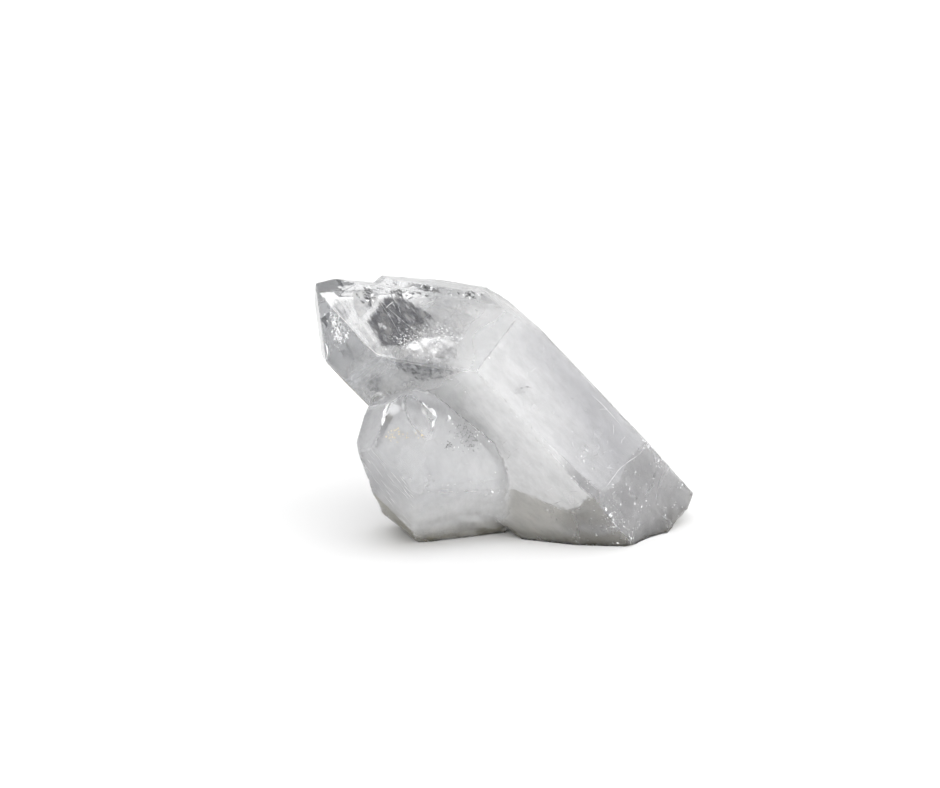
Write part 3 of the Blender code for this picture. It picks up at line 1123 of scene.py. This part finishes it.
def ribbons(name, rows, material, stations=14, look=None):
    """One mesh of many ribbons. Each row: path in mm and full width in mm. The half width
    at t along the path is w/2 * sqrt(sin(pi t)), roughened by noise. They face out of the
    crystal, or along `look`."""
    verts, faces, strengths, start = [], [], [], 0
    t = np.linspace(0, 1, stations)
    for path, width in rows:
        path = np.array(path, float) * MM
        gone = np.concatenate([[0], np.cumsum(np.linalg.norm(np.diff(path, axis=0), axis=1))])
        middle = np.stack([np.interp(t * gone[-1], gone, path[:, k]) for k in range(3)], axis=1)
        for _ in range(2):
            middle[1:-1] = (middle[:-2] + 2 * middle[1:-1] + middle[2:]) / 4
        ahead = np.gradient(middle, axis=0)
        across = np.cross(ahead, outward_at(middle) if look is None else look)
        across /= np.maximum(np.linalg.norm(across, axis=1), 1e-12)[:, None]
        middle = middle + across * (0.12 * width * MM * value_noise(middle, 0.9 * MM, 140))[:, None]
        swell = np.sqrt(np.sin(math.pi * np.clip(t, 0.02, 0.98)))
        half = 0.5 * width * MM * swell * (1 + 0.5 * value_noise(middle, 0.7 * MM, 141))
        verts.append(np.concatenate([middle - across * half[:, None], middle + across * half[:, None]]))
        k = np.arange(stations - 1) + start
        faces += np.stack([k, k + 1, k + 1 + stations, k + stations], axis=1).tolist()
        strengths.append(np.ones(2 * stations))
        start += 2 * stations
    mesh = bpy.data.meshes.new(name)
    mesh.from_pydata(np.concatenate(verts).tolist(), [], faces)
    give(mesh, "thickness", np.concatenate(strengths))
    give(mesh, "grain", np.concatenate(verts))
    mesh.update()
    return add_piece(mesh, material)


# A white finish for bruises, scratches and wisps, and for the painted glints along edges.
bruise_and_painted_glint = matt(
    "bruised edge and painted glint", (0.97, 0.97, 0.97), (1, 1, 1), 900.0, covering(900.0, 0.3, 0.5, 0.35, detail=4.0)
)[0]
GLINT = np.array([0.135, -0.845, 0.515])
# Painted glints: white lines along two ridges of the point and the rim of the break stand for
# highlights, over real bruising.
BRUISES_AND_PAINTED_GLINTS = [
    (
        [
            (-37.9, -7.3, 56.1), (-36.4, -8.8, 54.7), (-34.6, -10.5, 53.4), (-32.8, -12.2, 52),
            (-32.1, -12.8, 51.7),
        ],
        0.35,
    ),
    ([(-44.3, -1.1, 61.3), (-42.3, -3, 59.7), (-39.9, -5.3, 57.9), (-37.9, -7.3, 56.1)], 0.16),
    ([(20.9, -2.3, 38.5), (23, -1.9, 36.6), (25.6, -1.7, 33.7), (28.6, -1.4, 30.2)], 0.2),
]
FLASHES = [
    (
        [
            (-32.1, -12.8, 51.7), (-27, -13.5, 50.2), (-21.6, -14.4, 49.4), (-15.5, -15.5, 48.6),
            (-9.9, -16.5, 48.2),
        ],
        0.36,
    ),
    (
        [
            (-28.1, -25.7, 43.2), (-29, -25.4, 42.5), (-29.7, -25.8, 40.6), (-30.3, -26.7, 38.6),
            (-30.5, -27.1, 37.7),
        ],
        0.8,
    ),
    ([(-25.7, -22.1, 44), (-26.9, -24.5, 43.6), (-28.1, -25.7, 43.2)], 0.3),
    ([(-20.9, -22.5, 42.1), (-20.2, -22.2, 41.2), (-19.1, -21.7, 40.0)], 0.5),
    ([(-19.6, -21.9, 40.5), (-18.4, -21.4, 39.5), (-17.5, -21, 38.1)], 0.9),
    ([(-17.5, -21, 38.1), (-18.2, -21.3, 37.2), (-18.6, -21.5, 35.7)], 0.5),
    ([(-45.2, -3, 52.6), (-44.6, -3.9, 51.3), (-44.3, -4.5, 49.9), (-44.8, -4.7, 48.1)], 0.8),
    ([(-14.8, -19.7, 38.2), (-14.3, -19.5, 37.2), (-15.1, -19.9, 36.5)], 0.6),
    (
        [
            (34.6, 0.5, 26), (34.9, 0.5, 24.5), (33.3, -0.7, 22.5), (30, -4.5, 21.8),
            (27.4, -7.3, 20.5), (25.8, -9.5, 18.6), (24.3, -11.2, 17.3),
        ],
        0.22,
    ),
]
ribbons("bruised_edges_and_painted_glints", BRUISES_AND_PAINTED_GLINTS, bruise_and_painted_glint)
ribbons("flashing_edges", FLASHES, mirror, look=GLINT)
print("bruises and flashes:", len(BRUISES_AND_PAINTED_GLINTS) + len(FLASHES))

# %% Thin cracks and scratches
thin_crack = matt(
    "thin crack", (0.35, 0.35, 0.36), (0.6, 0.6, 0.6), 900.0,
    covering(1200.0, 0.3, 0.5, 0.3, detail=3.0),
)[0]
CRACKS = [
    ([(1.5, -13.3, 42.7), (3, -12.2, 42.9), (4.4, -11.1, 43), (5.7, -10.5, 42.5)], 0.45),
    ([(1.2, -13.9, 41.9), (2.7, -12.8, 42.1), (4.2, -11.9, 41.9)], 0.3),
    ([(17.7, -13.3, 18.5), (19.2, -12.9, 19.4), (20.7, -12.4, 19.4)], 0.35),
    ([(18.7, -13.1, 17.4), (20.2, -12.8, 18.1), (21.7, -12.2, 18.4), (22.2, -12.3, 17.6)], 0.3),
    ([(10, -9.4, 11.6), (12, -10.6, 13), (13.7, -11.3, 14)], 0.2),
    ([(16.7, -11.6, 12.8), (20.2, -12.9, 15.3), (24.2, -11.1, 17.2)], 0.15),
    ([(-23.5, -14.1, 50.1), (-24.5, -13.9, 50.6)], 0.25),
    ([(-13.1, -14.4, 43.9), (-11.6, -15.2, 45.6)], 0.2),
    ([(-11.4, -14.5, 42.9), (-9.9, -15.2, 44.3)], 0.2),
]
ribbons("thin_cracks", CRACKS, thin_crack)
SCRATCHES = [
    ([(-28.5, -0.1, 61.7), (-29.5, -0.9, 61.1), (-30.2, -1.6, 60.5)], 0.25),
    ([(-21.3, -1.2, 60.9), (-19.9, -0.5, 61.5), (-18.4, 0, 61.9)], 0.25),
    ([(-32.8, 1.1, 62.7), (-30.7, -1.6, 60.5), (-28.7, -4.4, 58.1), (-26.6, -8, 55.1)], 0.08),
    ([(-31.8, 0.4, 62.1), (-28.7, -2.5, 59.7), (-25.7, -4.9, 57.7), (-23.2, -6.8, 56.1)], 0.06),
    ([(-36.5, -9.6, 44.1), (-34.4, -10.6, 46.2), (-32.4, -11.7, 48.2), (-30.2, -12.6, 50)], 0.10),
    ([(-36.9, -9.8, 45.2), (-34.9, -10.8, 47), (-32.6, -11.9, 49.3)], 0.08),
    ([(-36, -9.3, 42.8), (-33.7, -10.4, 44.8), (-31.4, -11.5, 46.9)], 0.08),
]
ribbons("scratches", SCRATCHES, bruise_and_painted_glint)
print("cracks and scratches:", len(CRACKS) + len(SCRATCHES))

# %% [markdown]
# The body also holds a great many short cracks, white and grey, and the small crystal's
# left face carries growth lines as fine streaks. They are drawn at random, away from the
# edges, so that none shows outside the crystal.

# %% Wisps and growth streaks
def random_paths(may, way, turn_spread, number, seed, sizes, widths):
    """Short paths under the skin, from random points among `may`. Each runs along `way`
    laid flat on the face there, turned by a random angle (spread in degrees), and bows a
    little."""
    rng = np.random.default_rng(seed)
    rows = []
    for start in rng.choice(np.flatnonzero(may), number):
        look = normal[start]
        flat = way - look * (way @ look)
        flat /= np.linalg.norm(flat)
        turn = math.radians(rng.normal(0, turn_spread))
        run = flat * math.cos(turn) + np.cross(look, flat) * math.sin(turn)
        bow = np.cross(look, run) * rng.normal(0, 0.08)
        steps = np.linspace(-0.5, 0.5, 4)[:, None] * rng.uniform(*sizes)
        path = points[start] / MM - look * rng.uniform(0.15, 0.38) + steps * run + steps ** 2 * bow
        rows.append((path, rng.uniform(*widths)))
    return rows


s = large.local(points)[:, 2] / MM
on_body = (s < 14) & (s > -48) & (own_small < 0.5) & (broken < 0.3)
on_body &= (to_edge > 2.2 * MM) & (points[:, 2] > 0.006)
LEFT_FACE, GROWTH_WAY = compass(-123.9, -37.1), np.array([0.51, 0.36, -0.78])
on_left = (normal @ LEFT_FACE > 0.97) & (to_edge > 0.6 * MM) & (points[:, 0] < -0.012)
round_body = np.cross(directions[0], large.axes[2])
drawn = 0
for name, material, may, way, turn, number, seed, sizes, widths, stations in (
    ("white_wisps", bruise_and_painted_glint, on_body, round_body, 32, 70, 501, (0.6, 3.2), (0.05, 0.16), 8),
    ("grey_wisps", thin_crack, on_body, round_body, 32, 60, 502, (0.5, 2.6), (0.06, 0.22), 8),
    ("white_striae", bruise_and_painted_glint, on_left, GROWTH_WAY, 2.5, 34, 503, (1.5, 4.5), (0.06, 0.2), 10),
    ("grey_striae", thin_crack, on_left, GROWTH_WAY, 2.5, 30, 504, (1.5, 4.5), (0.06, 0.2), 10),
):
    rows = random_paths(may, way, turn, number, seed, sizes, widths)
    ribbons(name, rows, material, stations)
    drawn += len(rows)
print("small cracks and growth striae:", drawn)

# %% [markdown]
# ## Flakes: sparkle, specks and iron stains
# The break glitters because tiny crack faces lie in it at every angle. Each flake is a
# small uneven six-sided plate. Sparkle flakes are mirrors just under the skin; specks
# are dark or white; the yellow ones are iron, left by water on the small crystal.

# %% Flakes
ROUND = np.linspace(0, 2 * math.pi, 6, endpoint=False)


def flakes(name, spots, looks, sizes, material, seed, tilt=0.0, longer=1.0):
    """Plates of six triangles: rim = middle + size * r(angle) * (longer cos U + sin V),
    where U and V span the plane square to the look, and r is random from 0.5 to 1."""
    rng = np.random.default_rng(seed)
    looks = looks + tilt * rng.normal(size=looks.shape)
    looks /= np.linalg.norm(looks, axis=1)[:, None]
    u = np.cross(looks, np.cross(large.axes[2] + 0.6 * rng.normal(size=looks.shape), looks))
    u /= np.linalg.norm(u, axis=1)[:, None]
    v = np.cross(looks, u)
    r = sizes[:, None] * rng.uniform(0.5, 1.0, (len(spots), 6))
    wide, high = longer * np.cos(ROUND)[:, None], np.sin(ROUND)[:, None]
    rim = spots[:, None] + r[..., None] * (wide * u[:, None] + high * v[:, None])
    verts = np.concatenate([spots[:, None], rim], axis=1).reshape(-1, 3)
    first = np.arange(len(spots))[:, None] * 7
    k = np.arange(6)
    tris = np.stack([first + 0 * k, first + 1 + k, first + 1 + (k + 1) % 6], axis=2).reshape(-1, 3)
    mesh = bpy.data.meshes.new(name)
    mesh.from_pydata(verts.tolist(), [], tris.tolist())
    give(mesh, "thickness", np.tile([1.0] + [0.8] * 6, len(spots)))
    give(mesh, "grain", verts)
    mesh.update()
    return add_piece(mesh, material)


def scatter(weights, number, depth, seed):
    """Random spots under the skin: triangles drawn in proportion to area times weight, a
    random place in each (two random numbers, folded into the triangle), then inwards."""
    rng = np.random.default_rng(seed)
    chance = area * weights
    chosen = rng.choice(len(corners), number, p=chance / chance.sum())
    a, b, c = (points[corners[chosen, k]] for k in range(3))
    u, v = rng.uniform(size=(2, number))
    folded = u + v > 1
    u, v = np.where(folded, 1 - u, u), np.where(folded, 1 - v, v)
    looks = facing[chosen]
    spots = a + u[:, None] * (b - a) + v[:, None] * (c - a)
    return spots - looks * rng.uniform(*depth, number)[:, None] * MM, looks


def around(anchors, number, spread_mm, depth, seed):
    """Random spots near given points, each then put a random depth (from, to, in mm)
    under the skin by its distance from the plane of the nearest skin point."""
    rng = np.random.default_rng(seed)
    spots = np.array(anchors, float)[rng.integers(len(anchors), size=number)] * MM
    spots = spots + rng.normal(size=(number, 3)) * spread_mm * MM
    near = np.array([np.argmin(((points - spot) ** 2).sum(axis=1)) for spot in spots])
    looks = normal[near]
    gap = ((spots - points[near]) * looks).sum(axis=1)
    return spots - looks * (gap + rng.uniform(*depth, number) * MM)[:, None], looks


GLINT_NUMBERS = np.random.default_rng(5)


def strew(name, placed, share, sizes, material, seed, tilt, longer, power=1.0, toward=GLINT):
    """Flakes at placed spots, their looks turned a share of the way to a direction that
    flashes in the studio light. Size = a random number between two, to a power, in mm."""
    spots, looks = placed
    r = GLINT_NUMBERS.uniform(*sizes, len(spots)) ** power * MM
    flakes(name, spots, (1 - share) * looks + share * toward, r, material, seed, tilt, longer)
    return len(spots)


dark, grey = (0.03, 0.03, 0.035), (0.16, 0.16, 0.17)
ochre, pale = (0.86, 0.68, 0.34), (0.90, 0.82, 0.62)
speck = matt("dark speck", dark, grey, 900.0, covering(1500.0, least=0.4))[0]
iron = matt("iron stain", ochre, pale, 700.0, covering(1500.0, least=0.2))[0]

middles = points[corners].mean(axis=1)
tri_edge = (1 - step_up(0, 1.5 * MM, to_edge))[corners].mean(axis=1)
patchy = 0.3 + 0.7 * (value_noise(middles, 7 * MM, 91) > 0)
end_weight = tri_break * step_up(6 * MM, 20 * MM, middles[:, 0]) * patchy
body_weight = step_up(-30 * MM, 0, middles[:, 0]) + 0.1
edge_weight = body_weight * (0.15 + tri_edge)
on_break = scatter(end_weight, 380, (0.12, 0.35), 301)
in_body = scatter(edge_weight, 240, (0.1, 0.3), 303)
anywhere = scatter(body_weight + 0.3, 110, (0.1, 0.4), 305)
strewn = [
    strew("sparkle", on_break, 0.7, (0.08, 0.42), mirror, 302, 0.22, 1.6, power=1.2),
    strew("body_glints", in_body, 0.6, (0.06, 0.3), mirror, 304, 0.3, 2.0),
    strew("dark_specks", anywhere, 0, (0.05, 0.16), speck, 306, 0.6, 1.5),
]
print("scattered flakes:", sum(strewn))

# %% Flakes in their known places
TOP_BAND = [
    (-28.4, 2.4, 63.6), (-26.9, 2.3, 63.5), (-24.9, 1.9, 63.2), (-22.6, 1.7, 63),
    (-19.7, 4.8, 64.4), (-26.5, 12.2, 64.9), (-10.3, 7.9, 62.8), (-8.5, 12.3, 62.1),
    (-7, 7.7, 62.4), (-8, 2.8, 62.8), (-10, 3.6, 63.4), (-35.3, 2.5, 63.6), (-34.5, 0.8, 62.2),
]
STAINS = [
    (-27.9, -25.9, 35.7), (-26.3, -25.1, 36), (-25.1, -24.6, 34.8), (-23.9, -24.1, 33.9),
    (-25.8, -24.9, 33.9), (-21.8, -23, 34.6), (-21.3, -22.8, 34.1), (-28.6, -26.3, 35),
    (-26.9, -25.4, 36.2),
]
INNER = [
    (-13, -18.8, 34.8), (-11.1, -17.9, 35), (-9.8, -17.4, 33.5), (-9.2, -17.1, 31.5),
    (-8.6, -16.9, 29.9), (-10.5, -17.8, 31), (-11.7, -18.3, 33), (-14.6, -19.7, 30.6),
]
BRIGHT = [
    (27.3, -8.2, 7.7), (29.4, -7.1, 5.2), (25.6, -9, 6.7), (30.7, -6.9, 3.3), (23.1, -9.3, 8.1),
    (26.7, -8.2, 11.7), (24.6, -9.6, 9.6), (35.2, 0.7, 24.7), (38.8, 3.9, 18.4),
]
FLASH = [
    (-25.5, -8.2, 53.6), (-21.5, -7.4, 54.4), (-17.5, -6.9, 54.8), (-14, -8.3, 53.6),
    (-22.5, -9.9, 52.4), (-17, -10.5, 51.9), (-19, -8.7, 53.3),
]
SIDE_FLASH = [
    (-41.5, -3.5, 55.5), (-40.2, -4.6, 54.6), (-42.5, -2.4, 56.8), (-41.8, -3.8, 53.2),
    (-43.2, -1.9, 57.8),
]
FEW = [
    (18.9, -11.1, 24.3), (18.5, -10.5, 26.1), (20.7, -11.3, 21.7), (-4.1, -13.3, 16.8),
    (-19.8, -21, 22),
]
SIDE_GLINT = np.array([-0.123, -0.942, 0.313])

# Name, places, number, spread in mm, depths in mm, share, sizes in mm, material, seed,
# tilt, how much longer than wide, and the direction that flashes.
PLACED = [
    ("band_dark", TOP_BAND, 95, 0.9, (0.2, 1.0), 0, (0.1, 0.5), speck, 311, 0.3, 2.6, GLINT),
    ("band_white", TOP_BAND, 90, 1.0, (0.2, 1.0), 0.6, (0.1, 0.45), mirror, 313, 0.3, 2.0, GLINT),
    ("iron_stains", STAINS, 44, 0.7, (0.05, 0.15), 0, (0.1, 0.36), iron, 315, 0.05, 1.2, GLINT),
    ("inner_specks", INNER, 150, 0.8, (0.1, 0.35), 0, (0.04, 0.19), speck, 317, 0.3, 2.4, GLINT),
    ("inner_glints", INNER, 40, 1.2, (0.1, 0.35), 0.6, (0.05, 0.2), mirror, 321, 0.3, 1.8, GLINT),
    (
        "bright_specks", BRIGHT, 130, 1.2, (0.1, 0.35), 0.7, (0.06, 0.34), mirror, 319, 0.25, 1.8,
        GLINT,
    ),
    (
        "point_glints", FLASH, 420, 1.8, (0.5, 1.5), 0.9, (0.04, 0.16), mirror, 325, 0.12, 2.4,
        GLINT,
    ),
    (
        "side_glints", SIDE_FLASH, 200, 1.0, (0.4, 1.4), 1, (0.05, 0.28), mirror, 327, 0.12, 2.0,
        SIDE_GLINT,
    ),
    ("few_glints", FEW, 22, 0.9, (0.1, 0.35), 0.8, (0.12, 0.4), mirror, 323, 0.2, 1.6, GLINT),
]
strewn = []
for name, places, number, apart, depths, share, sizes, material, seed, tilt, longer, toward in PLACED:
    placed = around(places, number, apart, depths, seed)
    strewn.append(strew(name, placed, share, sizes, material, seed + 1, tilt, longer, toward=toward))
print("placed flakes:", sum(strewn))

# %% [markdown]
# ## Light and floor
# A white sweep and large soft lights make a crystal look clear; the dark side of the room,
# behind the camera, draws the dark patches in its point.

# %% Floor, world and lights
mesh = bpy.data.meshes.new("floor")
mesh.from_pydata([(-4, -4, 0), (4, -4, 0), (4, 4, 0), (-4, 4, 0)], [], [(0, 1, 2, 3)])
floor = bpy.data.objects.new("floor", mesh)
scene.collection.objects.link(floor)
paper, tree, sheet = new_material("white paper")
sheet.inputs["Base Color"].default_value = (0.93, 0.93, 0.93, 1)
sheet.inputs["Roughness"].default_value = 0.9
sheet.inputs["Specular IOR Level"].default_value = 0.0
mesh.materials.append(paper)

room = bpy.data.worlds.new("studio")
scene.world = room
room.use_nodes = True
tree = room.node_tree
toward = node(tree, "ShaderNodeTexCoord").outputs["Generated"]


def lobe(direction, near, far):
    """1 within `near` degrees of a direction, 0 beyond `far` degrees, smooth between."""
    way = np.array(direction, float)
    dot = node(tree, "ShaderNodeVectorMath", {0: toward}, operation="DOT_PRODUCT")
    dot.inputs[1].default_value = way / np.linalg.norm(way)
    return node(
        tree, "ShaderNodeMapRange", {"Value": dot.outputs["Value"]}, interpolation_type="SMOOTHSTEP",
        From_Min=math.cos(math.radians(far)), From_Max=math.cos(math.radians(near)),
    ).outputs[0]


# Direction, near and far in degrees, and strength: how much a lamp adds, or a dark part
# of the room takes away.
EVEN_LIGHT = 0.86
LAMPS = [
    ((0, 0, 1), 10, 90, 0.15),
    ((0.4, -0.8, 0.38), 15, 65, 1.5),
    ((-0.08, -0.95, 0.05), 10, 38, 1.6),
]
DARK_PARTS = [((-0.95, -0.25, 0.15), 15, 50, 0.5), ((0.0, -1.0, 0.1), 6, 15, 0.9)]

light = EVEN_LIGHT
for direction, near, far, strength in LAMPS:
    lamp = math_node(tree, "MULTIPLY", lobe(direction, near, far), strength)
    light = math_node(tree, "ADD", lamp, light)
for direction, near, far, strength in DARK_PARTS:
    dark = math_node(tree, "MULTIPLY", lobe(direction, near, far), strength)
    light = math_node(tree, "MULTIPLY", light, math_node(tree, "SUBTRACT", 1.0, dark))
tree.links.new(light, tree.nodes["Background"].inputs["Color"])
tree.nodes["Background"].inputs["Strength"].default_value = 1.0
scene.view_settings.view_transform = "Standard"
scene.cycles.transparent_max_bounces = 48
scene.cycles.max_bounces = 24
scene.cycles.diffuse_bounces = 12
scene.cycles.transmission_bounces = 24
print("floor and room ready")
